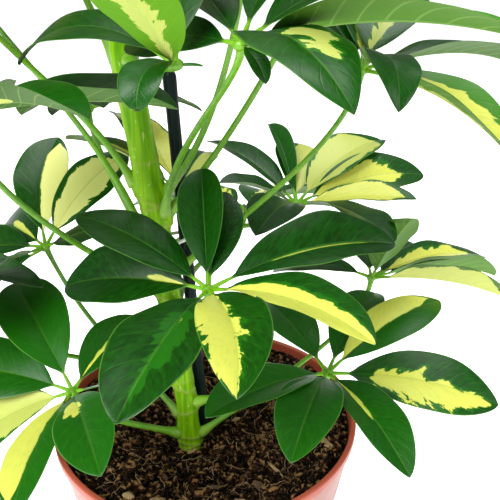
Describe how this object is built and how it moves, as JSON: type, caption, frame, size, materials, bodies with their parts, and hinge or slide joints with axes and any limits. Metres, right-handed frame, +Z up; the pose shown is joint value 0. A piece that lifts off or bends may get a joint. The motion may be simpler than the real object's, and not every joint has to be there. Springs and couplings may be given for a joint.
{
  "type": "potted umbrella plant",
  "caption": "Variegated dwarf umbrella plant with glossy compound leaves on one green stem, tied to a cane, in a tapered terracotta-coloured nursery pot of compost.",
  "frame": {"origin": "middle of the underside of the pot", "axes": "+Z up along the pot's axis, -Y towards the viewer, +X to the viewer's right"},
  "size_m": [0.3951, 0.3273, 0.5747],
  "materials": {
    "pot": "satin",
    "soil": "matte",
    "stem": "satin",
    "cane": "satin",
    "tie": "matte",
    "leaf": "satin"
  },
  "bodies": {
    "root": {"pot": "pot", "soil": "soil", "stem": "stem", "cane": "cane", "plant_tie": "tie", "leaf_01": "leaf", "leaf_02": "leaf", "leaf_03": "leaf", "leaf_04": "leaf", "leaf_05": "leaf", "leaf_06": "leaf", "leaf_07": "leaf", "leaf_08": "leaf", "leaf_09": "leaf", "leaf_10": "leaf", "leaf_11": "leaf", "leaf_12": "leaf", "leaf_13": "leaf", "leaf_14": "leaf", "leaf_15": "leaf", "leaf_16": "leaf", "leaf_17": "leaf", "leaf_18": "leaf", "leaf_19": "leaf", "leaf_20": "leaf", "leaf_21": "leaf", "leaf_22": "leaf", "leaf_23": "leaf", "leaf_24": "leaf"}
  },
  "joints": []
}
